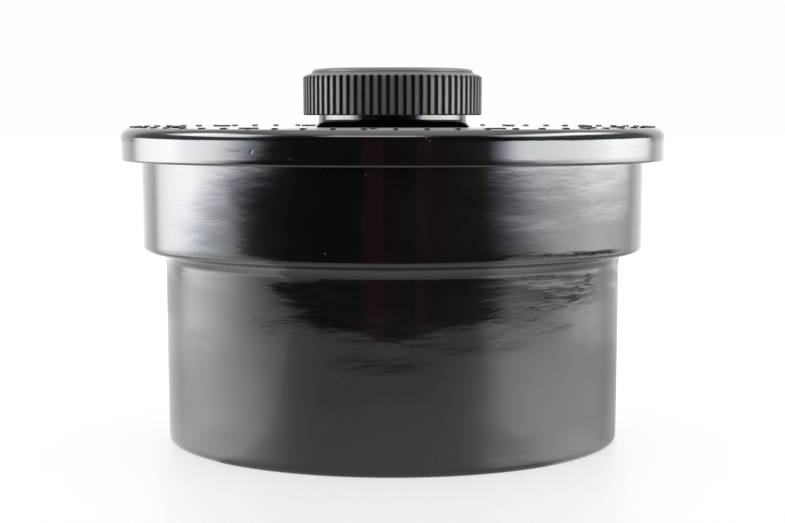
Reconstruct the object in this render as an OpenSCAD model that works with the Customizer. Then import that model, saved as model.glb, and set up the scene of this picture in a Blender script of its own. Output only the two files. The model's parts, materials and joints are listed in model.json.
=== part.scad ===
// Daylight film developing tank: a stepped cup, a push-on lid with a raised minute dial and a
// threaded filler neck, a fluted screw cap, a light-trap funnel, a hollow centre column and an
// adjustable ratchet reel. Millimetres, +Z up, origin at the centre of the base.

/* [Part] */
// Sub-part to draw, or all of them

/* [Cup] */
// Outer radius of the lower chamber at the base
lower_r = 54.0; // [53.5:0.1:54.5]
// Outer radius of the upper chamber
upper_r = 59.8; // [59.4:0.1:60.0]
// Wall thickness
wall = 3.0; // [2.8:0.1:3.1]
// Radius of the rounded edge of the base
base_edge = 1.4; // [0.8:0.1:2.0]

/* [Lid] */
// Outer radius of the lid
lid_r = 65.0; // [64.5:0.1:66]
// Depth of the lid's inner light-trap skirt below its plate
skirt_depth = 10.5; // [6:0.5:12]
// Number of minute ticks
tick_count = 60; // [12:12:60]
// Height of the raised marks
mark_h = 0.3; // [0.25:0.05:0.5]

/* [Neck and cap] */
// Outer radius of the filler neck
neck_r = 17.8; // [17.6:0.05:18.0]
// Outer radius of the cap
cap_r = 21.45; // [21.3:0.05:21.8]
// Number of flutes around the cap
flute_count = 70; // [40:1:72]
// Rise of the cap in one full turn
thread_lead = 4.0; // [3.9:0.05:4.2]

/* [Reel] */
// Clear width between the flanges at the narrow setting
film_w = 35.2; // [35:0.05:35.4]
// Rise of the upper flange at the widest setting
wide_step = 26.5; // [26:0.1:26.5]
// Radius of the flanges
flange_r = 49.6; // [49.3:0.05:49.8]
// Radial pitch of the film spiral
spiral_pitch = 2.7; // [2.65:0.01:2.72]

/* [Hidden] */
$fn = 96;

// heights
floor_z = 3.0;
step_z = 45.7;          // underside of the step
rim_z = 71.0;           // top of the cup
plate_z = 72.0;         // underside of the lid plate
lid_z = 74.8;           // top of the lid plate
ledge_z = 75.0;         // ledge inside the neck that carries the light trap
lid_low = 67.0;         // bottom of the lid rim
neck_top = 84.2;
cap_low = 78.0;
cap_top = 88.9;
liner_z = 84.28;
cap_roof = 85.8;        // inside of the cap's top

// radii
lower_top_r = lower_r + 0.4;
upper_top_r = upper_r + 0.3;
lower_in = lower_r - wall;
lower_in_top = lower_top_r - wall;
upper_in = upper_top_r - wall;
cove_r = 2.8;           // hollow fillet under the step
step_edge = 1.2;        // round edge of the step
cove = lower_top_r + cove_r;
neck_fillet = 2.0;
lid_edge = 2.4;            // round top edge of the lid

// column and reel
col_r = 12.0;
col_bore = 10.2;
foot_r = 20.0;
foot_z = 5.4;
plate_lo = 5.45;                     // lower flange, underside
film_z = 7.0;                        // lower flange, top
film_top = film_z + film_w;          // upper flange, underside
upper_top = film_top + 1.6;
rib_h = 1.4;
rib_w = 0.8;
rib_r0 = 20.6;
half_turns = 19;
lug_z = 9.5;
ball_r = 1.5;
ball_at = 46.65;
entry_a = 262;

black = [0.035, 0.032, 0.031];
black_cap = [0.055, 0.052, 0.05];
rubber = [0.07, 0.07, 0.072];
reel_col = [0.045, 0.043, 0.042];
steel = [0.62, 0.63, 0.64];

function arc(cx, cy, r, a0, a1, n = 5) =
    [for (i = [0:n]) let (a = a0 + (a1 - a0) * i / n) [cx + r * cos(a), cy + r * sin(a)]];

module ring(ri, ro, z0, z1) {
    translate([0, 0, z0]) difference() {
        cylinder(r = ro, h = z1 - z0);
        translate([0, 0, -1]) cylinder(r = ri, h = z1 - z0 + 2);
    }
}

// part of a ring, from angle a0 over an angle da
module sector(ri, ro, z0, z1, a0, da) {
    rotate([0, 0, a0]) rotate_extrude(angle = da) translate([ri, z0]) square([ro - ri, z1 - z0]);
}

// a trapezoid ridge on a right-hand helix, starting at angle a0 and height z0
module helix(root, crest, half_root, half_crest, z0, a0, turns) {
    n = floor(turns * 36);
    out = crest > root;
    pts = [for (i = [0:n]) let (
            a = a0 + 360 * turns * i / n,
            z = z0 + thread_lead * turns * i / n,
            f = max(0.04, min(1, i / 5, (n - i) / 5)),
            rc = root + (crest - root) * f,
            hc = half_root + (half_crest - half_root) * f)
        each [[root * cos(a), root * sin(a), z - half_root], [rc * cos(a), rc * sin(a), z - hc],
              [rc * cos(a), rc * sin(a), z + hc], [root * cos(a), root * sin(a), z + half_root]]];
    side = [for (i = [0:n - 1]) for (j = [0:3]) let (a = 4 * i, b = 4 * i + 4, k = (j + 1) % 4)
        each !out ? [[a + j, b + j, b + k], [a + j, b + k, a + k]]
                 : [[a + j, b + k, b + j], [a + j, a + k, b + k]]];
    e = 4 * n;
    ends = !out ? [[0, 1, 2], [0, 2, 3], [e, e + 2, e + 1], [e, e + 3, e + 2]]
               : [[0, 2, 1], [0, 3, 2], [e, e + 1, e + 2], [e, e + 2, e + 3]];
    polyhedron(points = pts, faces = concat(side, ends), convexity = 8);
}

// two-centre spiral rib: half turns whose centres alternate, so each meets the next
module spiral(z0, z1) {
    for (i = [0:half_turns - 1])
        translate([(i % 2 == 0 ? -1 : 1) * spiral_pitch / 4, 0, 0])
            sector(rib_r0 + i * spiral_pitch / 2, rib_r0 + i * spiral_pitch / 2 + rib_w, z0, z1,
                   180 * (i % 2), 180);
}

module windows(z0, z1) {
    for (i = [0:5]) sector(22.2, 43.2, z0, z1, 60 * i + 9, 42);
}

// block that guides the film's edge past the ball: z0 is the flange side, up is +1 or -1
module entry(z0, z1) {
    intersection() {
        ring(45.4, flange_r, z0, z1);
        rotate([0, 0, entry_a]) translate([40, -3.4, z0 - 1]) cube([20, 6.8, z1 - z0 + 2]);
    }
}

module ball_pocket(zc) {
    rotate([0, 0, entry_a]) {
        translate([ball_at, 0, zc - ball_r - 0.05]) cylinder(r = ball_r + 0.1, h = 2 * ball_r + 0.15, $fn = 48);
        translate([44, -1.1, zc - ball_r - 0.05]) cube([ball_at - 44, 2.2, 2 * ball_r + 0.15]);
    }
}

// digits of the dial, w wide and h tall with strokes of s
dw = 1.6;
dh = 2.9;
ds = 0.42;
module digit(d) {
    m0 = dh / 2 - ds / 2;
    m1 = dh / 2 + ds / 2;
    if (d == 0) difference() {
        square([dw, dh]);
        translate([ds, ds]) square([dw - 2 * ds, dh - 2 * ds]);
    }
    if (d == 1) translate([dw / 2 - ds / 2, 0]) square([ds, dh]);
    if (d == 2) polygon([[0, 0], [dw, 0], [dw, ds], [ds, ds], [ds, m0], [dw, m0], [dw, dh], [0, dh],
                         [0, dh - ds], [dw - ds, dh - ds], [dw - ds, m1], [0, m1]]);
    if (d == 3) polygon([[0, 0], [dw, 0], [dw, dh], [0, dh], [0, dh - ds], [dw - ds, dh - ds],
                         [dw - ds, m1], [ds, m1], [ds, m0], [dw - ds, m0], [dw - ds, ds], [0, ds]]);
    if (d == 4) polygon([[dw - ds, 0], [dw, 0], [dw, dh], [dw - ds, dh], [dw - ds, m1], [ds, m1],
                         [ds, dh], [0, dh], [0, m0], [dw - ds, m0]]);
    if (d == 5) polygon([[dw, 0], [0, 0], [0, ds], [dw - ds, ds], [dw - ds, m0], [0, m0], [0, dh],
                         [dw, dh], [dw, dh - ds], [ds, dh - ds], [ds, m1], [dw, m1]]);
    if (d == 6) difference() {
        polygon([[0, 0], [dw, 0], [dw, m1], [ds, m1], [ds, dh - ds], [dw, dh - ds], [dw, dh], [0, dh]]);
        translate([ds, ds]) square([dw - 2 * ds, m0 - ds]);
    }
}

// a number with the tops of its digits outward
module numeral(v) {
    tens = floor(v / 10);
    translate([0, 0, lid_z - 0.3]) linear_extrude(mark_h + 0.3) {
        if (tens > 0) {
            translate([-dw - 0.22, 0]) digit(tens);
            translate([0.22, 0]) digit(v % 10);
        } else translate([-dw / 2, 0]) digit(v);
    }
}

module tank_body() {
    outer = concat(
        [[0, 0.8], [46.6, 0.8], [47.3, 0]],
        arc(lower_r - base_edge, base_edge, base_edge, -90, 0),
        [[lower_top_r, step_z - cove_r]],
        [for (i = [1:7]) let (a = 180 - 90 * i / 7)
            [cove + cove_r * cos(a), step_z - cove_r + cove_r * sin(a)]],
        arc(upper_r - step_edge, step_z + step_edge, step_edge, -90, 0),
        arc(upper_top_r - 0.5, rim_z - 0.5, 0.5, 0, 90, 3));
    inner = concat(
        arc(upper_in + 0.5, rim_z - 0.5, 0.5, 90, 180, 3),
        arc(upper_in - 2, step_z + 5, 2, 0, -90, 4),
        arc(lower_in_top + 1, step_z + 2, 1, 90, 180, 4),
        arc(lower_in - 2.5, floor_z + 2.5, 2.5, 0, -90, 4),
        [[0, floor_z]]);
    color(black) {
        rotate_extrude() polygon(concat(outer, inner));
        difference() {
            ring(foot_r + 0.1, foot_r + 2.1, floor_z - 0.4, floor_z + 1.6);
            for (i = [0:2]) rotate([0, 0, 60 * i]) translate([-30, -3, floor_z]) cube([60, 6, 4]);
        }
    }
}

module lid() {
    profile = concat(
        [[12, plate_z], [53.2, plate_z]],
        [[53.6, plate_z - skirt_depth + 0.4], [54.0, plate_z - skirt_depth], [55.6, plate_z - skirt_depth],
         [56.0, plate_z - skirt_depth + 0.4], [56.3, plate_z], [61.5, plate_z]],
        [[61.8, lid_low + 0.5], [62.3, lid_low]],
        arc(lid_r - 0.6, lid_low + 0.6, 0.6, -90, 0, 3),
        arc(lid_r - lid_edge, lid_z - lid_edge, lid_edge, 0, 90, 7),
        [for (i = [0:5]) let (a = -90 - 90 * i / 5)
            [neck_r + neck_fillet * (1 + cos(a)), lid_z + neck_fillet * (1 + sin(a))]],
        arc(neck_r - 0.5, neck_top - 0.5, 0.5, 0, 90, 3),
        [[15.1, neck_top], [14.6, neck_top - 0.5], [14.6, ledge_z], [12, ledge_z]]);
    color(black) {
        rotate_extrude() polygon(profile);
        helix(neck_r - 0.4, neck_r + 1.1, 1.31, 0.7, 79.2, 20, 0.92);
        for (i = [0:tick_count - 1]) rotate([0, 0, -89.4 + 360 * i / tick_count])
            translate([61.3, -0.5, lid_z - 0.3]) cube([1.4, 1.0, mark_h + 0.3]);
        for (i = [1:12]) rotate([0, 0, 84.6 - 30 * i - 90]) translate([0, 52.2, 0]) numeral(5 * i);
    }
}

module lid_seal() {
    color(rubber) ring(57.5, 59.7, rim_z + 0.05, plate_z - 0.05);
}

module light_trap() {
    color(black) rotate_extrude() polygon([
        [7.2, 54], [8.5, 54], [8.9, 54.4], [9.0, 72.6], [11.6, 74.9], [11.6, 75.02], [14.5, 75.02],
        [14.5, 78.6], [14.1, 79], [13.7, 79], [12.9, 77.6], [7.6, 73.2], [7.2, 72.4]]);
}

module cap() {
    profile = concat(
        [[0, cap_roof], [19.0, cap_roof], [19.4, cap_roof - 0.4], [19.4, cap_low + 0.5], [19.9, cap_low]],
        arc(cap_r - 0.4, cap_low + 0.4, 0.4, -90, 0, 3),
        [[cap_r, 86.3], [cap_r - 0.07, 86.6], [cap_r - 0.27, 86.86], [cap_r - 0.65, 87.14],
         [cap_r - 1.25, 87.4], [cap_r - 2, 87.62], [cap_r - 2.15, 87.75], [cap_r - 2.17, 87.95],
         [cap_r - 2.3, 88.2], [cap_r - 2.55, 88.42], [cap_r - 2.95, 88.58], [cap_r - 3.95, 88.72],
         [cap_r - 6.45, 88.83], [10, cap_top], [0, cap_top]]);
    color(black_cap) {
        difference() {
            rotate_extrude() polygon(profile);
            for (i = [0:flute_count - 1]) rotate([0, 0, -87.72 + 360 * i / flute_count])
                translate([cap_r - 0.03, 0, cap_low - 1]) cylinder(r = 0.52, h = 10, $fn = 24);
        }
        helix(19.8, 18.3, 1.31, 0.7, 79.2 + thread_lead / 2 - thread_lead * 200 / 360, -180, 0.97);
    }
}

module cap_liner() {
    color(rubber) translate([0, 0, liner_z]) cylinder(r = 18.1, h = cap_roof - 0.05 - liner_z);
}

module centre_column() {
    color(reel_col) difference() {
        rotate_extrude() polygon(concat(
            [[col_bore, floor_z], [foot_r - 0.4, floor_z], [foot_r, floor_z + 0.4], [foot_r, foot_z - 0.4],
             [foot_r - 0.4, foot_z], [col_r, foot_z]],
            arc(col_r - 0.5, 65.5, 0.5, 0, 90, 3),
            [[col_bore + 0.4, 66], [col_bore, 65.6]]));
        for (i = [0:2]) rotate([0, 0, 60 * i]) translate([-30, -2.5, floor_z - 1]) cube([60, 5, 2.4]);
        translate([-20, -1.6, 62]) cube([40, 3.2, 10]);
    }
}

module lower_flange() {
    color(reel_col) difference() {
        union() {
            difference() {
                ring(col_r + 0.1, flange_r, plate_lo, film_z);
                windows(plate_lo - 1, film_z + 1);
            }
            spiral(film_z - 0.4, film_z + rib_h);
            difference() {
                ring(15.1, 17, plate_lo + 0.5, 41);
                for (s = [0:1]) rotate([0, 0, 180 * s]) {
                    translate([10, -1.5, lug_z - 1.5]) cube([10, 3, wide_step + 3]);
                    for (h = [0, 11, wide_step]) sector(14, 18, lug_z - 1.5 + h, lug_z + 1.5 + h, 0, 26);
                }
            }
            entry(film_z - 0.4, film_z + 4);
        }
        ball_pocket(film_z + 0.35 + ball_r);
    }
}

module width_sleeve() {
    pin_z = film_top - 1;
    color(reel_col) {
        difference() {
            union() {
                ring(col_r + 0.1, 15, film_z + 0.3, 45);
                ring(14.5, 19.8, pin_z, film_top - 0.05);
            }
            ring(14.4, 16, 43.95, 44.75);
        }
        translate([0, 18, pin_z]) cylinder(r = 1.1, h = 2.3, $fn = 32);
        for (s = [0:1]) rotate([0, 0, 180 * s]) translate([13.5, 0, lug_z]) rotate([0, 90, 0])
            cylinder(r = 1.4, h = 3.1, $fn = 32);
    }
}

module upper_flange() {
    color(reel_col) difference() {
        union() {
            difference() {
                ring(15.08, flange_r, film_top, upper_top);
                windows(film_top - 1, upper_top + 1);
                sector(16.8, 19.2, film_top - 1, upper_top + 1, 64, 52);
            }
            spiral(film_top - rib_h, film_top + 0.4);
            entry(film_top - 4, film_top + 0.4);
        }
        ball_pocket(film_top - 3.6 + ball_r);
    }
}

module retaining_ring() {
    color(steel) sector(14.46, 16.7, 44.0, 44.7, 20, 320);
}

module lower_ball() {
    color(steel) rotate([0, 0, entry_a]) translate([ball_at, 0, film_z + 0.35 + ball_r]) sphere(r = ball_r, $fn = 48);
}

module upper_ball() {
    color(steel) rotate([0, 0, entry_a]) translate([ball_at, 0, film_top - 3.6 + ball_r]) sphere(r = ball_r, $fn = 48);
}

tank_body();
lid();
lid_seal();
light_trap();
cap();
cap_liner();
centre_column();
lower_flange();
width_sleeve();
upper_flange();
retaining_ring();
lower_ball();
upper_ball();
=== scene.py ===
import bpy
import bmesh
import json
import math
import random
import numpy as np
from mathutils import Matrix, Vector


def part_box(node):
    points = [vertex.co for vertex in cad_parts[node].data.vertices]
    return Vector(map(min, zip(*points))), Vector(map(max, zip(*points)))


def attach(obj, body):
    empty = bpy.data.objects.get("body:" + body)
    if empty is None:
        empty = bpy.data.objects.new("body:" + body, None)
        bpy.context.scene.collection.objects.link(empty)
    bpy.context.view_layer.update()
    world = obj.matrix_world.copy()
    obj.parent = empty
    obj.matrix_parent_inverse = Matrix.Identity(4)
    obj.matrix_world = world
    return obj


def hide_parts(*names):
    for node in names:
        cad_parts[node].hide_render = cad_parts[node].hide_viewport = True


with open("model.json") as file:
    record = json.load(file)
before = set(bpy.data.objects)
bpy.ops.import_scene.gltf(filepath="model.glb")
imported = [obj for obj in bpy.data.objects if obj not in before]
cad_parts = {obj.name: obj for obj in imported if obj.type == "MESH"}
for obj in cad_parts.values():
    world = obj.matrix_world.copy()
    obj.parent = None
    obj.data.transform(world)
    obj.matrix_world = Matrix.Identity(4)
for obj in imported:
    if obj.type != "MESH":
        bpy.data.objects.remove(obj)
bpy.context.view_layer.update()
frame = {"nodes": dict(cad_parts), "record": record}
NODES = frame["nodes"]
MM = 0.001


# ------------------------------------------------------------------ sizes, most read from the frame, in millimetres
def mm(node):
    lo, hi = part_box(node)
    return [c / MM for c in lo], [c / MM for c in hi]


LID_R = mm("lid")[1][0]
LID_LOW = mm("lid_seal")[0][2] - 4.05
NECK_TOP = mm("cap_liner")[0][2] - 0.08
PLATE_Z = mm("lid_seal")[1][2] + 0.05
LID_Z = PLATE_Z + 2.8
LEDGE_Z = PLATE_Z + 3.0
SKIRT_Z = mm("lid")[0][2]
RIM_Z = mm("tank_body")[1][2]
UPPER_R = mm("tank_body")[1][0]
STEP_Z = 45.7
CAP_R = mm("cap")[1][0]
CAP_LOW, CAP_TOP = mm("cap")[0][2], mm("cap")[1][2]
CAP_ROOF = mm("cap_liner")[1][2] + 0.05
MARK_H = 0.3
TICKS = 60
FLUTES = 70
LEAD = next(c["ratio"] for c in frame["record"]["behaviour"]["couplings"] if c["joint"] == "cap_lift") * 2 * math.pi / MM


# ------------------------------------------------------------------ mesh tools
def link(obj):
    bpy.context.scene.collection.objects.link(obj)
    return obj


def rounded(points, step=2.0):
    """A closed or open (r, z) outline with each corner rounded by its own radius, and its straight runs cut to at most step mm."""
    n = len(points)
    out = []
    for i, p in enumerate(points):
        r, z = p[0], p[1]
        rad = p[2] if len(p) > 2 else 0.0
        if rad <= 0:
            out.append((r, z))
            continue
        a = np.array(points[(i - 1) % n][:2], float) - (r, z)
        b = np.array(points[(i + 1) % n][:2], float) - (r, z)
        a /= np.linalg.norm(a)
        b /= np.linalg.norm(b)
        half = math.acos(max(-1, min(1, float(a @ b)))) / 2
        t = rad / math.tan(half)
        c = np.array((r, z)) + (a + b) / np.linalg.norm(a + b) * (rad / math.sin(half))
        p0, p1 = np.array((r, z)) + a * t, np.array((r, z)) + b * t
        a0 = math.atan2(*(p0 - c)[::-1])
        a1 = math.atan2(*(p1 - c)[::-1])
        d = (a1 - a0 + math.pi) % (2 * math.pi) - math.pi
        k = max(3, int(abs(math.degrees(d)) / 9 + 0.5))
        for j in range(k + 1):
            q = a0 + d * j / k
            out.append((c[0] + rad * math.cos(q), c[1] + rad * math.sin(q)))
    dense = []
    for i in range(len(out)):
        p, q = out[i], out[(i + 1) % len(out)]
        dense.append(p)
        if i == len(out) - 1 and abs(points[0][0]) < 1e-9:
            break
        d = math.hypot(q[0] - p[0], q[1] - p[1])
        k = int(d / step)
        for j in range(1, k + 1):
            if k:
                t = j / (k + 1)
                dense.append((p[0] + (q[0] - p[0]) * t, p[1] + (q[1] - p[1]) * t))
    return dense


def lathe(name, prof, cols, change=None):
    """Turns an (r, z) outline about Z. The outline is closed, and where it starts and ends at r = 0 it closes on the axis. change(r, z, angle) gives the new r and z of every point."""
    prof = np.array(prof, float)
    axial = prof[0, 0] < 1e-9 and prof[-1, 0] < 1e-9
    core = prof[1:-1] if axial else prof
    rows = len(core)
    ang = np.linspace(0, 2 * math.pi, cols, endpoint=False)
    R = np.repeat(core[:, 0][:, None], cols, 1)
    Z = np.repeat(core[:, 1][:, None], cols, 1)
    A = np.repeat(ang[None, :], rows, 0)
    if change:
        R, Z = change(R, Z, A)
    verts = np.stack([R * np.cos(A), R * np.sin(A), Z], -1).reshape(-1, 3) * MM
    faces = []
    last = rows if not axial else rows - 1
    for j in range(last):
        k = (j + 1) % rows
        a = j * cols + np.arange(cols)
        b = k * cols + np.arange(cols)
        a1, b1 = np.roll(a, -1), np.roll(b, -1)
        faces.append(np.stack([a, a1, b1, b], 1))
    quads = np.concatenate(faces)
    polys = quads.tolist()
    verts = verts.tolist()
    if axial:
        s = len(verts)
        verts.append([0, 0, prof[0, 1] * MM])
        verts.append([0, 0, prof[-1, 1] * MM])
        top = (rows - 1) * cols
        for i in range(cols):
            n = (i + 1) % cols
            polys.append([s, n, i])
            polys.append([s + 1, top + i, top + n])
    me = bpy.data.meshes.new(name)
    me.from_pydata(verts, [], polys)
    me.validate()
    me.update()
    return link(bpy.data.objects.new(name, me))


def settle(obj, angle=32):
    """Outward normals, smooth shading, and sharp edges over an angle."""
    me = obj.data
    bm = bmesh.new()
    bm.from_mesh(me)
    bmesh.ops.remove_doubles(bm, verts=bm.verts, dist=1e-7)
    bmesh.ops.recalc_face_normals(bm, faces=bm.faces)
    bm.to_mesh(me)
    bm.free()
    me.shade_smooth()
    me.set_sharp_from_angle(angle=math.radians(angle))
    me.update()
    return obj


def smooth(a, b, x):
    t = np.clip((x - a) / (b - a), 0, 1)
    return t * t * (3 - 2 * t)


def wave(a, z, seed, amp, n=7, zs=14.0):
    """Slow unevenness of a moulded and hand-polished wall: a few sines round and up the wall."""
    rng = np.random.RandomState(seed)
    out = np.zeros_like(a)
    for i in range(n):
        k = rng.randint(2, 15)
        out += rng.uniform(0.4, 1) / (1 + 0.12 * k) * np.sin(k * a + rng.uniform(0, 6.28) + z / (zs * rng.uniform(0.5, 1.6)) * rng.choice([-1, 1]))
    return out * amp / n


def join(name, objs):
    bm = bmesh.new()
    for o in objs:
        tmp = o.data.copy()
        tmp.transform(o.matrix_world)
        bm.from_mesh(tmp)
        bpy.data.meshes.remove(tmp)
    me = bpy.data.meshes.new(name)
    bm.to_mesh(me)
    bm.free()
    for o in objs:
        bpy.data.objects.remove(o)
    return link(bpy.data.objects.new(name, me))


def pillow(width, length, low, high, ease, corner=0.28):
    """A bar along X from 0 to length, width across Y, from z low to high, with its top edges eased. Millimetres."""
    lev = [(0.0, low), (0.0, high - ease), (0.3 * ease, high - 0.3 * ease), (ease, high)]
    pts, faces = [], []
    for inset, z in lev:
        x0, x1, y = inset, length - inset, width / 2 - inset
        c = min(corner, y * 0.6)
        ring = []
        for cx, cy, a0 in ((x1 - c, y - c, 0), (x0 + c, y - c, 90), (x0 + c, -y + c, 180), (x1 - c, -y + c, 270)):
            for k in range(4):
                a = math.radians(a0 + 30 * k)
                ring.append((cx + c * math.cos(a), cy + c * math.sin(a), z))
        pts += ring
    n = 16
    for j in range(len(lev) - 1):
        for i in range(n):
            k = (i + 1) % n
            faces.append((j * n + i, j * n + k, (j + 1) * n + k, (j + 1) * n + i))
    faces.append(tuple(range(n))[::-1])
    faces.append(tuple((len(lev) - 1) * n + i for i in range(n)))
    return pts, faces


def mesh_from(name, pts, faces, scale=MM):
    me = bpy.data.meshes.new(name)
    me.from_pydata([tuple(c * scale for c in p) for p in pts], [], faces)
    me.update()
    return link(bpy.data.objects.new(name, me))


# strokes of the dial's digits, in a box 2.5 wide and 4.5 tall
def bow(cx, cy, rx, ry, a0, a1, n=14):
    return [(cx + rx * math.cos(math.radians(a0 + (a1 - a0) * i / n)), cy + ry * math.sin(math.radians(a0 + (a1 - a0) * i / n))) for i in range(n + 1)]


DIGITS = {
    "0": [bow(1.25, 2.25, 0.95, 1.95, 90, 450, 26)],
    "1": [[(0.55, 3.45), (1.35, 4.2), (1.35, 0.3)]],
    "2": [bow(1.25, 3.2, 0.95, 1.0, 165, -38, 12) + [(0.3, 0.3), (2.25, 0.3)]],
    "3": [bow(1.2, 3.28, 0.9, 0.92, 150, -80, 12), bow(1.2, 1.35, 1.0, 1.05, 85, -150, 13)],
    "4": [[(2.3, 1.45), (0.25, 1.45), (1.65, 4.2), (1.65, 0.3)]],
    "5": [[(2.1, 4.2), (0.6, 4.2), (0.45, 2.45)] + bow(1.2, 1.6, 1.05, 1.3, 125, -145, 14)],
    "6": [bow(1.25, 1.45, 0.95, 1.15, 90, 450, 20), [(0.34, 1.7), (0.6, 2.9), (1.7, 4.2)]],
}


def stroke_solid(line, w, low, high, ease):
    """A closed raised stroke along a flat line: a rounded section swept along it, with round ends."""
    p = [np.array(q, float) for q in line]
    closed = np.linalg.norm(p[0] - p[-1]) < 1e-6
    if closed:
        p = p[:-1]
    n = len(p)
    sec = [(-w, low), (-w, high - ease), (-w + ease * 0.4, high - ease * 0.25), (-w + ease, high), (w - ease, high), (w - ease * 0.4, high - ease * 0.25), (w, high - ease), (w, low)]
    m = len(sec)
    pts, faces = [], []

    def section(at, nrm, squeeze=1.0):
        for s, z in sec:
            q = at + nrm * s * squeeze
            pts.append((q[0], q[1], z))

    rings = 0
    if closed:
        for i in range(n):
            t = p[(i + 1) % n] - p[i - 1]
            t /= np.linalg.norm(t)
            section(p[i], np.array((-t[1], t[0])))
            rings += 1
    else:
        for end in (0, 1):
            pass
        t0 = (p[1] - p[0]) / np.linalg.norm(p[1] - p[0])
        for k in (3, 2, 1):
            a = math.radians(90 * k / 3.4)
            section(p[0] - t0 * w * math.sin(a), np.array((-t0[1], t0[0])), math.cos(a))
            rings += 1
        for i in range(n):
            if i == 0 or i == n - 1:
                t = p[1] - p[0] if i == 0 else p[-1] - p[-2]
                t /= np.linalg.norm(t)
                section(p[i], np.array((-t[1], t[0])))
            else:
                t1 = (p[i] - p[i - 1]) / np.linalg.norm(p[i] - p[i - 1])
                t2 = (p[i + 1] - p[i]) / np.linalg.norm(p[i + 1] - p[i])
                t = (t1 + t2) / np.linalg.norm(t1 + t2)
                miter = min(1.35, 1 / max(0.3, float(t @ t1)))
                section(p[i], np.array((-t[1], t[0])) * miter)
            rings += 1
        t1 = (p[-1] - p[-2]) / np.linalg.norm(p[-1] - p[-2])
        for k in (1, 2, 3):
            a = math.radians(90 * k / 3.4)
            section(p[-1] + t1 * w * math.sin(a), np.array((-t1[1], t1[0])), math.cos(a))
            rings += 1
    for j in range(rings if closed else rings - 1):
        k = (j + 1) % rings
        for i in range(m):
            h = (i + 1) % m
            faces.append((j * m + i, j * m + h, k * m + h, k * m + i))
    if not closed:
        faces.append(tuple(range(m))[::-1])
        faces.append(tuple((rings - 1) * m + i for i in range(m)))
    return pts, faces


# ------------------------------------------------------------------ material tools
class Tree:
    def __init__(self, name):
        self.mat = bpy.data.materials.new(name)
        self.mat.use_nodes = True
        self.t = self.mat.node_tree
        self.t.nodes.clear()
        self.out = self.t.nodes.new("ShaderNodeOutputMaterial")

    def n(self, kind, **vals):
        node = self.t.nodes.new("ShaderNode" + kind)
        for k, v in vals.items():
            setattr(node, k, v)
        return node

    def put(self, socket, v):
        if isinstance(v, bpy.types.NodeSocket):
            self.t.links.new(v, socket)
        elif v is not None:
            if socket.type == "RGBA" and not hasattr(v, "__len__"):
                v = (v, v, v, 1)
            elif socket.type == "RGBA" and len(v) == 3:
                v = (*v, 1)
            elif socket.type == "VECTOR" and not hasattr(v, "__len__"):
                v = (v, v, v)
            socket.default_value = v

    def math(self, op, a, b=None, c=None, clamp=False):
        m = self.n("Math", operation=op, use_clamp=clamp)
        for i, v in enumerate((a, b, c)):
            if v is not None:
                self.put(m.inputs[i], v)
        return m.outputs[0]

    def mul(self, a, b):
        return self.math("MULTIPLY", a, b)

    def add(self, a, b):
        return self.math("ADD", a, b)

    def step(self, x, lo, hi, a=0.0, b=1.0):
        m = self.n("MapRange", interpolation_type="SMOOTHSTEP", clamp=True)
        for i, v in enumerate((x, lo, hi, a, b)):
            self.put(m.inputs[i], v)
        return m.outputs[0]

    def lin(self, x, lo, hi, a=0.0, b=1.0):
        m = self.n("MapRange", clamp=True)
        for i, v in enumerate((x, lo, hi, a, b)):
            self.put(m.inputs[i], v)
        return m.outputs[0]

    def mix(self, f, a, b):
        m = self.n("Mix", data_type="RGBA")
        self.put(m.inputs[0], f)
        self.put(m.inputs[6], a)
        self.put(m.inputs[7], b)
        return m.outputs[2]

    def noise(self, vec, scale, detail=3.0, rough=0.5, distort=0.0):
        m = self.n("TexNoise")
        self.put(m.inputs["Vector"], vec)
        self.put(m.inputs["Scale"], scale)
        self.put(m.inputs["Detail"], detail)
        self.put(m.inputs["Roughness"], rough)
        self.put(m.inputs["Distortion"], distort)
        return m.outputs[0]

    def bump(self, height, dist, strength=1.0, normal=None):
        m = self.n("Bump")
        self.put(m.inputs["Strength"], strength)
        self.put(m.inputs["Distance"], dist)
        self.put(m.inputs["Height"], height)
        if normal is not None:
            self.put(m.inputs["Normal"], normal)
        return m.outputs[0]

    def place(self):
        """Object coordinates, which are the part's own frame in metres, their parts, and the radius about Z."""
        co = self.n("TexCoord").outputs["Object"]
        s = self.n("SeparateXYZ")
        self.put(s.inputs[0], co)
        x, y, z = s.outputs
        r = self.math("SQRT", self.add(self.mul(x, x), self.mul(y, y)))
        return co, x, y, z, r

    def scaled(self, co, sx, sy, sz):
        m = self.n("VectorMath", operation="MULTIPLY")
        self.put(m.inputs[0], co)
        m.inputs[1].default_value = (sx, sy, sz)
        return m.outputs[0]

    def around(self, x, y, z, a=0.03, b=1.0):
        """Coordinates unrolled round Z: arc length at radius a, and height times b, so that grain can run round the part."""
        ang = self.math("ARCTAN2", x, self.mul(y, -1))
        c = self.n("CombineXYZ")
        self.put(c.inputs[0], self.mul(ang, a))
        self.put(c.inputs[1], self.mul(z, b))
        return c.outputs[0]


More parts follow.
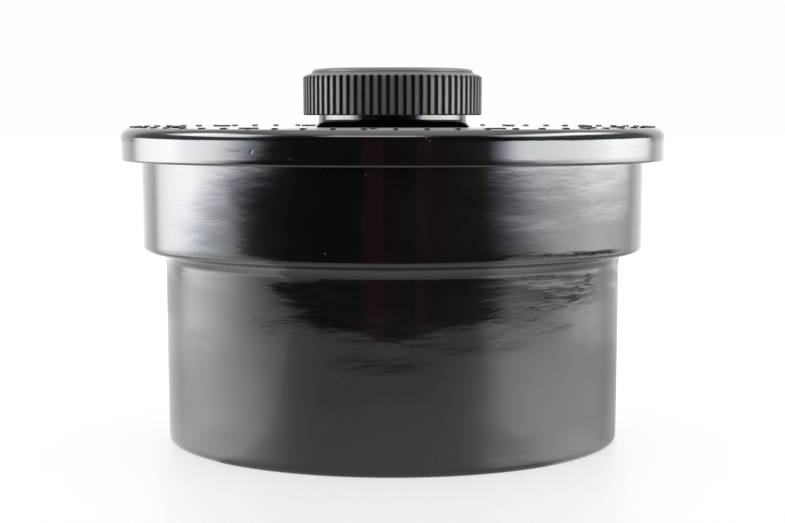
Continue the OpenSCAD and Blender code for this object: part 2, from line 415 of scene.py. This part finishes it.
def bakelite(name, haze=0.5, rough=0.07, smear=0.21, dirt=0.5, wave_amp=0.00006, grain=1.0, matte=0.0, base=(0.0034, 0.0031, 0.0031),
             tints=((0.0062, 0.0060, 0.0068), (0.0095, 0.0080, 0.0064)), low=None, low_smear=0.23, chips=(), groove=None, flat=None):
    """Old black phenolic moulding: a sharp polish under a film that smears light across fine rubbing marks that run round the part, with haze, specks and pale edges."""
    t = Tree(name)
    co, x, y, z, r = t.place()
    band = t.around(x, y, z, 0.055)
    # slow unevenness, stretched round the part
    slow = t.noise(t.scaled(band, 16, 42, 1), 1.0, 2.0, 0.45)
    mid = t.noise(t.scaled(band, 60, 210, 1), 1.0, 3.0, 0.55)
    fine = t.noise(t.scaled(band, 260, 2600, 1), 1.0, 4.0, 0.65)
    hair = t.noise(t.scaled(band, 900, 9000, 1), 1.0, 2.0, 0.6)
    cloud = t.noise(co, 38, 4.0, 0.6, 0.6)
    cloud2 = t.noise(co, 120, 5.0, 0.62, 0.3)
    blot = t.noise(t.scaled(co, 1, 1, 0.6), 19, 3.0, 0.5, 1.2)
    # specks of dust and pits
    vor = t.n("TexVoronoi", feature="F1")
    t.put(vor.inputs["Vector"], co)
    vor.inputs["Scale"].default_value = 210
    vor.inputs["Randomness"].default_value = 1.0
    rnd = t.n("SeparateColor")
    t.put(rnd.inputs[0], vor.outputs["Color"])
    size = t.lin(rnd.outputs[0], 0.90, 1.0, 0.0, 0.055)
    speck = t.math("LESS_THAN", vor.outputs["Distance"], size)
    vor2 = t.n("TexVoronoi", feature="F1")
    t.put(vor2.inputs["Vector"], co)
    vor2.inputs["Scale"].default_value = 620
    rnd2 = t.n("SeparateColor")
    t.put(rnd2.inputs[0], vor2.outputs["Color"])
    speck2 = t.mul(t.math("LESS_THAN", vor2.outputs["Distance"], t.lin(rnd2.outputs[1], 0.86, 1.0, 0.0, 0.12)), 0.45)
    specks = t.math("MAXIMUM", speck, speck2)
    # wear: pale edges from pointiness
    geo = t.n("NewGeometry")
    edge = t.step(geo.outputs["Pointiness"], 0.515, 0.60)
    edge = t.mul(edge, t.step(cloud2, 0.35, 0.7))
    # colour
    film = t.step(t.add(t.mul(cloud, 0.7), t.mul(blot, 0.5)), 0.45, 0.85)
    tint = t.mix(t.step(blot, 0.35, 0.7), *tints)
    col = t.mix(t.mul(film, dirt), base, tint)
    wear_and_hollow_shade = 1.0
    if groove:
        # painted shade: the flutes' hollows get a near-black colour and weak gloss for the shadow deep in them, and
        # handling has greyed the ribs and the top
        wear_and_hollow_shade = t.math("MAXIMUM", t.step(r, groove - 0.00040, groove - 0.00012), t.step(z, 0.08688, 0.08705))
        col = t.mix(wear_and_hollow_shade, (0.0030, 0.0028, 0.0027), col)
    col = t.mix(t.mul(edge, 0.4), col, (0.035, 0.030, 0.026) if groove is None else (0.20, 0.195, 0.185))
    col = t.mix(t.mul(specks, 0.6), col, (0.30, 0.29, 0.27))
    # bump
    h = t.add(t.mul(slow, 1.0), t.mul(mid, 0.10))
    nrm = t.bump(h, wave_amp * 10, 1.0)
    nrm = t.bump(t.add(t.mul(fine, 0.5), t.mul(hair, 0.25)), 0.0000030 * grain, 1.0, nrm)
    nrm = t.bump(t.math("SUBTRACT", 1.0, specks), 0.00003, 0.6, nrm)
    for cx, cy, cz, cr in chips:
        d = t.n("VectorMath", operation="DISTANCE")
        t.put(d.inputs[0], co)
        d.inputs[1].default_value = (cx, cy, cz)
        near = t.add(d.outputs[1], t.mul(t.add(t.noise(co, 1500, 3.0, 0.6), -0.5), cr * 0.9))
        nrm = t.bump(t.step(near, 0.0, cr), cr * 0.55, 1.0, nrm)
        col = t.mix(t.mul(t.step(near, cr * 1.1, cr * 0.6), 0.8), col, (0.05, 0.042, 0.035))
    # the polished lobe
    ro = t.add(t.lin(cloud2, 0.3, 0.75, rough * 0.7, rough * 1.5), t.mul(edge, 0.1))
    p = t.n("BsdfPrincipled")
    t.put(p.inputs["Base Color"], col)
    t.put(p.inputs["Roughness"], ro)
    t.put(p.inputs["IOR"], 1.60)
    if groove:
        # painted shade: the gloss is weakened in the flutes' hollows
        t.put(p.inputs["Specular IOR Level"], t.lin(wear_and_hollow_shade, 0, 1, 0.10, 0.5))
    t.put(p.inputs["Normal"], nrm)
    shade = t.mix(t.step(t.noise(co, 26, 2.0, 0.5), 0.36, 0.64), (0.93, 0.96, 1.0), (1.0, 0.965, 0.92))
    t.put(p.inputs["Specular Tint"], shade)
    if flat:
        # the flat top's upward faces at its top level, which take the painted grazing reflection
        up = t.n("SeparateXYZ")
        t.put(up.inputs[0], geo.outputs["Normal"])
        up = t.mul(t.step(up.outputs[2], 0.90, 0.995), t.step(z, flat - 0.0004, flat - 0.0001))
    # the smeared lobe, rough across the rubbing marks and sharp along them
    q = t.n("BsdfPrincipled")
    t.put(q.inputs["Base Color"], col)
    sm = t.lin(cloud, 0.3, 0.75, 0.9, 1.1)
    sm = t.mul(sm, smear) if low is None else t.mul(sm, t.lin(z, 0.0435, 0.0465, low_smear, smear))
    t.put(q.inputs["Roughness"], sm)
    t.put(q.inputs["IOR"], 1.60)
    if groove:
        # painted shade: the gloss is weakened in the flutes' hollows
        t.put(q.inputs["Specular IOR Level"], t.lin(wear_and_hollow_shade, 0, 1, 0.10, 0.5))
    t.put(q.inputs["Anisotropic"], 1.0)
    tang = t.n("Tangent", direction_type="RADIAL", axis="Z")
    t.put(q.inputs["Tangent"], tang.outputs[0])
    t.put(q.inputs["Normal"], nrm)
    t.put(q.inputs["Specular Tint"], shade)
    # haze: how much of the light goes to the smear
    f = t.lin(t.add(t.mul(cloud, 0.6), t.mul(fine, 0.4)), 0.3, 0.72, 0.84, 1.16)
    if flat:
        f = t.mul(f, haze)
    elif low is None:
        f = t.mul(f, haze)
    else:
        # the film on the lower wall is rubbed off in a ragged patch on the front, under the step
        rim = t.add(t.lin(x, -0.008, -0.028, 0.0, 0.0145), t.lin(x, 0.031, 0.043, 0.0, 0.013))
        rim = t.add(t.add(rim, 0.0255), t.add(t.mul(t.add(mid, -0.5), 0.006), t.mul(t.add(slow, -0.5), 0.006)))
        wiped = t.mul(t.step(z, t.add(rim, -0.0014), t.add(rim, 0.0022)), t.step(y, -0.005, -0.020))
        streak = t.noise(t.scaled(band, 75, 330, 1), 1.0, 3.0, 0.55, 0.8)
        wisp = t.mix(t.lin(x, 0.016, 0.030), (1, 1, 1), t.step(streak, 0.44, 0.58))
        wiped = t.mul(wiped, wisp)
        f = t.mul(f, t.lin(z, 0.0435, 0.0465, t.mul(low, t.lin(wiped, 0, 1, 1.0, 0.10)), haze))
    m = t.n("MixShader")
    t.put(m.inputs[0], f)
    t.t.links.new(p.outputs[0], m.inputs[1])
    t.t.links.new(q.outputs[0], m.inputs[2])
    last = m
    if flat:
        # painted reflection: where the flat top is seen at a grazing angle, a pale grey diffuse layer stands in for the
        # reflection seen on it
        lw = t.n("LayerWeight")
        lw.inputs["Blend"].default_value = 0.5
        painted_grazing_sheen = t.mul(t.step(lw.outputs["Facing"], 0.86, 0.985), t.mul(up, 0.62))
        # the painted reflection is laid along the rim and in front of the neck
        neck_front_zone = t.mul(t.step(y, -0.012, -0.020), t.step(t.math("ABSOLUTE", x), 0.0265, 0.0205))
        painted_grazing_sheen = t.mul(painted_grazing_sheen, t.math("MAXIMUM", t.step(r, 0.055, 0.0585), neck_front_zone))
        grazing_sheen_bsdf = t.n("BsdfDiffuse")
        t.put(grazing_sheen_bsdf.inputs["Color"], (0.52, 0.52, 0.50))
        k = t.n("MixShader")
        t.put(k.inputs[0], painted_grazing_sheen)
        t.t.links.new(last.outputs[0], k.inputs[1])
        t.t.links.new(grazing_sheen_bsdf.outputs[0], k.inputs[2])
        last = k
    if matte > 0:
        d = t.n("BsdfPrincipled")
        # in the cap, the matte layer is near black and thin in the flutes' hollows: painted shade
        t.put(d.inputs["Base Color"], t.mix(film, base, (0.035, 0.032, 0.029)) if groove is None else t.mix(wear_and_hollow_shade, (0.003, 0.003, 0.003), t.mix(film, (0.16, 0.157, 0.15), (0.25, 0.245, 0.235))))
        t.put(d.inputs["Roughness"], 0.5)
        t.put(d.inputs["IOR"], 1.55)
        t.put(d.inputs["Normal"], nrm)
        k = t.n("MixShader")
        t.put(k.inputs[0], matte if groove is None else t.mul(t.lin(wear_and_hollow_shade, 0, 1, 0.15, 1.0), matte))
        t.t.links.new(last.outputs[0], k.inputs[1])
        t.t.links.new(d.outputs[0], k.inputs[2])
        last = k
    t.t.links.new(last.outputs[0], t.out.inputs[0])
    return t.mat


def rubber(name):
    t = Tree(name)
    co, x, y, z, r = t.place()
    c = t.noise(co, 160, 4.0, 0.6)
    g = t.noise(co, 2400, 3.0, 0.6)
    p = t.n("BsdfPrincipled")
    t.put(p.inputs["Base Color"], t.mix(t.step(c, 0.35, 0.7), (0.018, 0.018, 0.019), (0.035, 0.034, 0.033)))
    t.put(p.inputs["Roughness"], t.lin(c, 0.3, 0.7, 0.55, 0.75))
    t.put(p.inputs["IOR"], 1.5)
    t.put(p.inputs["Normal"], t.bump(g, 0.00002, 0.5))
    t.t.links.new(p.outputs[0], t.out.inputs[0])
    return t.mat


def steel(name):
    t = Tree(name)
    co, x, y, z, r = t.place()
    c = t.noise(co, 260, 4.0, 0.6)
    g = t.noise(t.scaled(co, 1, 1, 9), 1800, 3.0, 0.6)
    p = t.n("BsdfPrincipled")
    t.put(p.inputs["Base Color"], t.mix(t.step(c, 0.4, 0.75), (0.56, 0.55, 0.54), (0.42, 0.40, 0.38)))
    t.put(p.inputs["Metallic"], 1.0)
    t.put(p.inputs["Roughness"], t.lin(c, 0.3, 0.7, 0.16, 0.34))
    t.put(p.inputs["Normal"], t.bump(g, 0.000006, 0.6))
    t.t.links.new(p.outputs[0], t.out.inputs[0])
    return t.mat


OLD = dict(base=(0.0105, 0.0095, 0.009), tints=((0.020, 0.0185, 0.020), (0.026, 0.0215, 0.0165)))
M_BODY = bakelite("bakelite_cup", haze=0.22, low=0.74, rough=0.075, smear=0.155, low_smear=0.22, dirt=0.8)
M_LID = bakelite("bakelite_lid", haze=0.10, rough=0.06, smear=0.18, dirt=0.35, grain=1.5, flat=LID_Z * MM, chips=((-0.0295, -0.0579, 0.0701, 0.0005),))
M_CAP = bakelite("bakelite_cap", haze=0.45, rough=0.20, smear=0.33, dirt=0.9, matte=0.5, wave_amp=0.00001, groove=CAP_R * MM, **OLD)
M_REEL = bakelite("bakelite_reel", haze=0.30, rough=0.14, smear=0.30, dirt=0.6, wave_amp=0.00001, **OLD)
M_RUBBER = rubber("rubber_black")
M_STEEL = steel("steel_plain")


def paint(obj, mat):
    obj.data.materials.clear()
    obj.data.materials.append(mat)


# ------------------------------------------------------------------ the cup
def make_body():
    prof = rounded([
        (0, 0.8), (46.6, 0.8, 0.35), (47.4, 0.0, 0.3), (54.0, 0.0, 1.5), (54.4, STEP_Z, 2.8), (UPPER_R - 0.3, STEP_Z, 1.25),
        (UPPER_R, RIM_Z, 0.55), (UPPER_R - 3.0, RIM_Z, 0.55), (UPPER_R - 3.05, STEP_Z + 3, 2.0), (51.4, STEP_Z + 3, 1.0),
        (51.0, 3.0, 2.5), (22.1, 3.0, 0.25), (22.0, 4.6, 0.3), (20.2, 4.6, 0.3), (20.1, 3.0, 0.25), (0, 3.0)], 1.4)

    def change(R, Z, A):
        wall = (R > 50) & (Z > 1.5) & (Z < RIM_Z - 1)
        R = R + np.where(wall, wave(A, Z, 5, 0.05) + wave(A * 3, Z, 9, 0.012, 6, 9.0), 0)
        # the locating ring on the floor has six gaps
        gap = np.zeros_like(A)
        for i in range(6):
            d = np.abs((A - math.radians(60 * i) + math.pi) % (2 * math.pi) - math.pi)
            gap = np.maximum(gap, 1 - smooth(0.135, 0.15, d))
        ring = (R > 19.5) & (R < 23) & (Z > 3.001)
        Z = np.where(ring, 3.0 + (Z - 3.0) * (1 - 0.97 * gap), Z)
        return R, Z

    return settle(lathe("cup", prof, 512, change), 40)


# ------------------------------------------------------------------ the lid, with its dial and threaded neck
def ridge(Z, A, z0, a0, turns, half_root, half_crest, height):
    """Height of a helical ridge at each (height, angle)."""
    out = np.zeros_like(Z)
    for lap in range(-2, 3):
        ang = (A - a0) + 2 * math.pi * lap
        turn = ang / (2 * math.pi)
        inside = (turn >= 0) & (turn <= turns)
        zc = z0 + LEAD * turn
        d = np.abs(Z - zc)
        fade = smooth(0, 0.14, turn) * smooth(0, 0.14, turns - turn)
        h = height * (1 - smooth(half_crest, half_root, d)) * fade
        out = np.maximum(out, np.where(inside, h, 0))
    return out


def make_lid():
    nr = 17.8
    prof = rounded([
        (12.0, PLATE_Z, 0.25), (53.2, PLATE_Z, 0.4), (53.7, SKIRT_Z, 0.4), (56.0, SKIRT_Z, 0.4), (56.3, PLATE_Z, 0.4),
        (61.5, PLATE_Z, 0.6), (61.9, LID_LOW, 0.5), (LID_R - 0.02, LID_LOW, 0.55), (LID_R, LID_Z, 2.4),
        (nr, LID_Z, 1.85), (nr, 78.0, 0.0), (nr, 84.1, 0.0), (nr, NECK_TOP, 0.5), (14.6, NECK_TOP, 0.45), (14.6, LEDGE_Z, 0.2),
        (12.0, LEDGE_Z, 0.25)], 1.6)
    dense = []
    for p, q in zip(prof, prof[1:] + prof[:1]):
        dense.append(p)
        if abs(p[0] - nr) < 0.02 and abs(q[0] - nr) < 0.02 and p[1] < 84:
            k = max(1, int((q[1] - p[1]) / 0.16))
            dense += [(nr, p[1] + (q[1] - p[1]) * i / k) for i in range(1, k)]
    prof = dense

    def change(R, Z, A):
        outer = (np.abs(R - nr) < 0.6) & (Z > 77.0) & (Z < NECK_TOP + 0.01)
        lift = ridge(Z, A, 79.2, math.radians(20), 0.92, 1.15, 0.7, 1.1)
        R = np.where(outer, R + lift, R)
        wall = (R > 64) & (Z < LID_Z - 2.6) & (Z > LID_LOW + 0.5)
        R = R + np.where(wall, wave(A, Z, 21, 0.02), 0)
        return R, Z

    lid = lathe("lid_shell", prof, 512, change)
    settle(lid, 40)
    marks = []
    for i in range(TICKS):
        pts, faces = pillow(1.02, 1.4, -0.35, MARK_H, 0.07, 0.12)
        o = mesh_from("tick", pts, faces)
        a = math.radians(-89.4 + 360 * i / TICKS)
        o.matrix_world = Matrix.Rotation(a, 4, "Z") @ Matrix.Translation((61.3 * MM, 0, LID_Z * MM))
        marks.append(o)
    return lid, marks


def make_numerals():
    out = []
    for i in range(1, 13):
        text = str(5 * i)
        big = 0.655
        width = big * (2.5 * len(text) + 0.65 * (len(text) - 1))
        for k, ch in enumerate(text):
            x0 = -width / 2 + k * 3.15 * big
            for line in DIGITS[ch]:
                pts, faces = stroke_solid([(x0 + big * px, big * py) for px, py in line], 0.215, -0.3, MARK_H - 0.01, 0.06)
                o = mesh_from("digit", pts, faces)
                a = math.radians(84.6 - 30 * i - 90)
                o.matrix_world = Matrix.Rotation(a, 4, "Z") @ Matrix.Translation((0, 52.15 * MM, LID_Z * MM))
                out.append(o)
    return out


# ------------------------------------------------------------------ the cap
def make_cap():
    R0 = CAP_R
    prof = rounded([
        (0, CAP_ROOF), (19.4, CAP_ROOF, 0.5), (19.4, 84.0), (19.4, 78.7), (19.45, CAP_LOW, 0.3), (R0 - 0.05, CAP_LOW, 0.35), (R0, 86.75, 0.5),
        (R0 - 0.75, 87.22, 0.8), (R0 - 2.1, 87.66, 0.12), (R0 - 2.2, 88.52, 0.95), (R0 - 4.4, 88.76, 1.5), (R0 - 9, 88.88, 2.0),
        (0, CAP_TOP)], 0.5)
    dense = []
    for p, q in zip(prof, prof[1:] + [prof[-1]]):
        dense.append(p)
        d = math.hypot(q[0] - p[0], q[1] - p[1])
        if abs(p[0] - 19.4) < 0.06 and abs(q[0] - 19.4) < 0.06 or p[0] > R0 - 0.2 and q[0] > R0 - 0.2:
            k = max(1, int(d / 0.2))
            dense += [(p[0] + (q[0] - p[0]) * i / k, p[1] + (q[1] - p[1]) * i / k) for i in range(1, k)]
    prof = dense
    cols = FLUTES * 20
    phase = math.radians(-87.72)

    def change(R, Z, A):
        u = ((A - phase) * FLUTES / (2 * math.pi)) % 1.0
        u = np.where(u > 0.5, u - 1, u)
        x = np.abs(u) * 2 * math.pi * R0 / FLUTES        # mm from the middle of the groove
        s = 0.53
        depth = np.where(x < s, 0.04 + np.sqrt(np.maximum(s * s - x * x, 0)), 0.0)
        top = 87.1
        # a groove runs out in a round end at its top
        over = np.clip((Z - (top - 0.6)) / 0.6, 0, 1)
        depth = depth * np.sqrt(np.maximum(1 - over * over, 0))
        # the grooves are cut only into the outer wall
        outer = R > R0 - 0.75
        R = np.where(outer, np.minimum(R, R0 - depth), R)
        inner = (np.abs(R - 19.4) < 0.2) & (Z > 78.0) & (Z < CAP_ROOF - 0.3)
        lift = ridge(Z, A, 79.2 + LEAD / 2 - LEAD * 200 / 360, math.radians(-180), 0.97, 1.15, 0.7, 1.1)
        R = np.where(inner, R - lift, R)
        return R, Z

    return settle(lathe("cap_shell", prof, cols, change), 48)


body = make_body()
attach(body, "tank")
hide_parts("tank_body")
paint(body, M_BODY)

lid, ticks = make_lid()
digits = make_numerals()
marks = join("dial_marks", ticks + digits)
settle(marks, 50)
lid = join("lid_and_dial", [lid, marks])
settle(lid, 40)
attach(lid, "lid")
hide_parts("lid")
paint(lid, M_LID)

cap = make_cap()
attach(cap, "cap")
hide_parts("cap")
paint(cap, M_CAP)

for name, mat in (("lid_seal", M_RUBBER), ("cap_liner", M_RUBBER), ("light_trap", M_REEL), ("centre_column", M_REEL),
                  ("lower_flange", M_REEL), ("width_sleeve", M_REEL), ("upper_flange", M_REEL),
                  ("retaining_ring", M_STEEL), ("lower_ball", M_STEEL), ("upper_ball", M_STEEL)):
    paint(NODES[name], mat)

# ------------------------------------------------------------------ camera
cam_data = bpy.data.cameras.new("camera")
cam_data.lens = 81.6
cam_data.sensor_width = 36
cam_data.clip_start = 0.01
cam_data.clip_end = 20
cam = link(bpy.data.objects.new("camera", cam_data))
cam.location = (0, -0.430, 0.0784)
cam.rotation_euler = (math.radians(90 - 4.8), 0, 0)
bpy.context.scene.camera = cam

# ------------------------------------------------------------------ floor
me = bpy.data.meshes.new("floor")
me.from_pydata([(-6, -6, 0), (6, -6, 0), (6, 6, 0), (-6, 6, 0)], [], [(0, 1, 2, 3)])
floor = link(bpy.data.objects.new("floor", me))
t = Tree("floor_white")
co, x, y, z, r = t.place()
lp = t.n("LightPath")
n1 = t.noise(co, 14, 4.0, 0.6)
p = t.n("BsdfPrincipled")
t.put(p.inputs["Base Color"], t.mix(t.step(n1, 0.3, 0.7), (0.243, 0.248, 0.244), (0.255, 0.260, 0.256)))
glossy = lp.outputs["Is Glossy Ray"]
t.put(p.inputs["Roughness"], t.lin(glossy, 0, 1, 0.45, 0.24))
t.put(p.inputs["IOR"], t.lin(glossy, 0, 1, 1.3, 1.36))
# a back-lit white table: it glows, and a little more with distance; in the tank's gloss alone its glow is dimmer away
# from the tank and carries painted reflections of the side cards
t.put(p.inputs["Emission Color"], (0.975, 1.0, 0.98, 1))
glow = t.mul(t.lin(r, 0.10, 0.70, 0.665, 0.735), t.lin(glossy, 0, 1, 1.0, t.lin(r, 0.07, 0.15, 1.0, 0.62)))
ang = t.math("DEGREES", t.math("ARCTAN2", x, t.mul(y, -1)))
# painted reflection: glossy rays alone see extra glow in bands of the floor beside and behind the tank, for the table's
# sheen of the side cards
sheen = t.mul(t.step(ang, -45.5, -48.5), t.lin(ang, -60, -95, 1.0, 0.5))
sheen = t.add(sheen, t.mul(t.step(ang, 38, 46), t.lin(ang, 55, 80, 0.9, 0.0)))
sheen = t.mul(sheen, t.step(r, 0.34, 0.24))
far = t.add(t.mul(t.step(ang, -52, -85), 2.2), t.mul(t.step(ang, 76, 98), 2.2))
far = t.mul(far, t.step(t.math("ABSOLUTE", ang), 126, 108))
sheen = t.add(sheen, t.mul(far, t.step(r, 0.20, 0.33)))
sheen = t.add(t.mul(sheen, 1.0), t.mul(t.step(y, 0.05, 0.25), 0.4))
t.put(p.inputs["Emission Strength"], t.add(glow, t.mul(glossy, sheen)))
# the table ends in front of the tank and to its right, where the room is dark: that is seen only in the tank's gloss
red = t.step(t.math("ABSOLUTE", t.add(ang, 8.3)), 5.0, 3.4)
red = t.math("MAXIMUM", red, t.mul(t.step(t.math("ABSOLUTE", t.add(ang, -12.2)), 3.6, 2.2), 0.8))
cc = t.n("CombineColor")
t.put(cc.inputs[0], t.add(0.006, t.mul(red, 0.10)))
t.put(cc.inputs[1], t.add(0.006, t.mul(red, 0.018)))
t.put(cc.inputs[2], t.add(0.007, t.mul(red, 0.020)))
e = t.n("Emission")
t.put(e.inputs["Color"], cc.outputs[0])
wob = t.mul(t.add(t.noise(co, 9, 2.0, 0.5), -0.5), 0.03)
front = t.step(y, t.add(-0.218, wob), t.add(-0.248, wob))
side = t.mul(t.step(x, t.add(0.325, wob), t.add(0.345, wob)), t.step(y, 0.25, 0.10))
dark = t.mul(t.math("MAXIMUM", front, side), glossy)
m = t.n("MixShader")
t.put(m.inputs[0], dark)
t.t.links.new(p.outputs[0], m.inputs[1])
t.t.links.new(e.outputs[0], m.inputs[2])
t.t.links.new(m.outputs[0], t.out.inputs[0])
floor.data.materials.append(t.mat)


# ------------------------------------------------------------------ light cards, seen only in reflections
def ring_card(name, a0, a1, radius, z0, z1, strength, tint, in_soft, spread, slant, zlow, zhigh, gain):
    """A curved upright card round the tank, from azimuth a0 to a1 (|a0| < |a1|), in degrees from the camera's side, positive to the right. Its inner edge leans outward by slant degrees and softens by spread degrees towards the floor, where the card is dimmer by gain. It fades towards its outer edge."""
    n = 48
    verts, faces = [], []
    for i in range(n + 1):
        a = math.radians(a0 + (a1 - a0) * i / n)
        for zz in (z0, z1):
            verts.append((radius * math.sin(a), -radius * math.cos(a), zz))
    for i in range(n):
        faces.append((2 * i, 2 * i + 2, 2 * i + 3, 2 * i + 1))
    me = bpy.data.meshes.new(name)
    me.from_pydata(verts, [], faces)
    o = link(bpy.data.objects.new(name, me))
    t = Tree(name + "_light")
    co = t.n("TexCoord").outputs["Object"]
    s = t.n("SeparateXYZ")
    t.put(s.inputs[0], co)
    zz = s.outputs[2]
    az = t.math("ABSOLUTE", t.math("DEGREES", t.math("ARCTAN2", s.outputs[0], t.mul(s.outputs[1], -1))))
    down = t.lin(zz, 0.065, 0.0, 0.0, 1.0)
    start = t.add(abs(a0), t.mul(down, slant))
    f = t.step(az, start, t.add(start, t.add(in_soft, t.mul(down, spread))))
    cool = t.step(f, 0.9, 0.1)
    f = t.mul(f, t.step(az, abs(a1), abs(a1) - 12))
    f = t.mul(f, t.mul(t.step(zz, z0, z0 + zlow), t.step(zz, z1, z1 - zhigh)))
    e = t.n("Emission")
    t.put(e.inputs["Color"], t.mix(cool, tint, (0.80, 0.87, 1.0)))
    t.put(e.inputs["Strength"], t.mul(t.mul(t.lin(zz, 0.028, 0.062, gain, 1.0), t.lin(az, 95, 120, 1.0, 0.42)), strength))
    tr = t.n("BsdfTransparent")
    m = t.n("MixShader")
    t.put(m.inputs[0], f)
    t.t.links.new(tr.outputs[0], m.inputs[1])
    t.t.links.new(e.outputs[0], m.inputs[2])
    t.t.links.new(m.outputs[0], t.out.inputs[0])
    o.data.materials.append(t.mat)
    o.visible_camera = False
    o.visible_diffuse = False
    o.visible_shadow = False
    o.visible_transmission = False
    return o


ring_card("card_left", -44.5, -130, 0.42, 0.0003, 0.106, 12.0, (0.985, 0.985, 1.0), in_soft=28.0, spread=38.0, slant=23.0, zlow=0.002, zhigh=0.016, gain=0.95)
ring_card("card_right", 34.5, 130, 0.42, 0.0003, 0.106, 11.6, (0.985, 1.0, 0.98), in_soft=17.0, spread=32.0, slant=3.3, zlow=0.002, zhigh=0.016, gain=0.42)

# ------------------------------------------------------------------ world
world = bpy.data.worlds.new("studio")
bpy.context.scene.world = world
world.use_nodes = True
wt = Tree.__new__(Tree)
wt.t = world.node_tree
wt.t.nodes.clear()
out = wt.t.nodes.new("ShaderNodeOutputWorld")
g = wt.n("TexCoord").outputs["Generated"]
s = wt.n("SeparateXYZ")
wt.put(s.inputs[0], g)
az = wt.math("DEGREES", wt.math("ARCTAN2", s.outputs[0], wt.mul(s.outputs[1], -1)))
aaz = wt.math("ABSOLUTE", az)
el = wt.math("DEGREES", wt.math("ARCSINE", s.outputs[2]))


def window(x, a, b, c, d):
    """1 between b and c, fading to 0 at a and d."""
    return wt.mul(wt.step(x, a, b), wt.step(x, d, c))


back = wt.mul(wt.step(aaz, 130, 142), 1.3)
sides = wt.mul(wt.step(aaz, 46, 66), 0.45)
ceil = wt.lin(el, 46, 68, 0.0, 2.1)
lum = wt.math("MAXIMUM", wt.math("MAXIMUM", back, ceil), wt.add(sides, 0.006))
lamp_left = wt.mul(wt.mul(window(az, -130, -106, -78, -58), window(el, 24, 34, 43, 56)), 12.0)
lean = wt.add(el, wt.lin(az, 100, 130, 0, 7))
lamp_right = wt.mul(wt.mul(window(az, 44, 78, 110, 140), window(lean, 32, 44, 48, 58)), 13.0)
lamp_mid = wt.mul(wt.mul(window(az, -42, -30, 8, 22), window(el, 40, 48, 52, 62)), 6.0)
lum = wt.add(lum, wt.add(wt.add(lamp_left, lamp_right), lamp_mid))
red = wt.step(wt.math("ABSOLUTE", wt.add(az, 8.3)), 5.0, 3.4)
red = wt.mul(wt.math("MAXIMUM", red, wt.mul(wt.step(wt.math("ABSOLUTE", wt.add(az, -12.2)), 3.6, 2.2), 0.8)), wt.step(el, 14, 8))
studio = wt.n("CombineColor")
wt.put(studio.inputs[0], wt.add(lum, wt.mul(red, 0.10)))
wt.put(studio.inputs[1], wt.add(lum, wt.mul(red, 0.018)))
wt.put(studio.inputs[2], wt.add(lum, wt.mul(red, 0.020)))
lpw = wt.n("LightPath")
mixw = wt.mix(lpw.outputs["Is Glossy Ray"], (0.985, 1.0, 0.992), studio.outputs[0])
bg = wt.n("Background")
wt.put(bg.inputs[0], mixw)
wt.put(bg.inputs[1], 1.0)
wt.t.links.new(bg.outputs[0], out.inputs[0])

sc = bpy.context.scene
sc.view_settings.view_transform = "Standard"
sc.view_settings.look = "None"
sc.view_settings.exposure = 0.0
sc.cycles.use_denoising = True
sc.cycles.max_bounces = 6
sc.cycles.glossy_bounces = 4
sc.cycles.diffuse_bounces = 3
sc.cycles.caustics_reflective = False
sc.cycles.caustics_refractive = False
sc.cycles.sample_clamp_indirect = 6.0
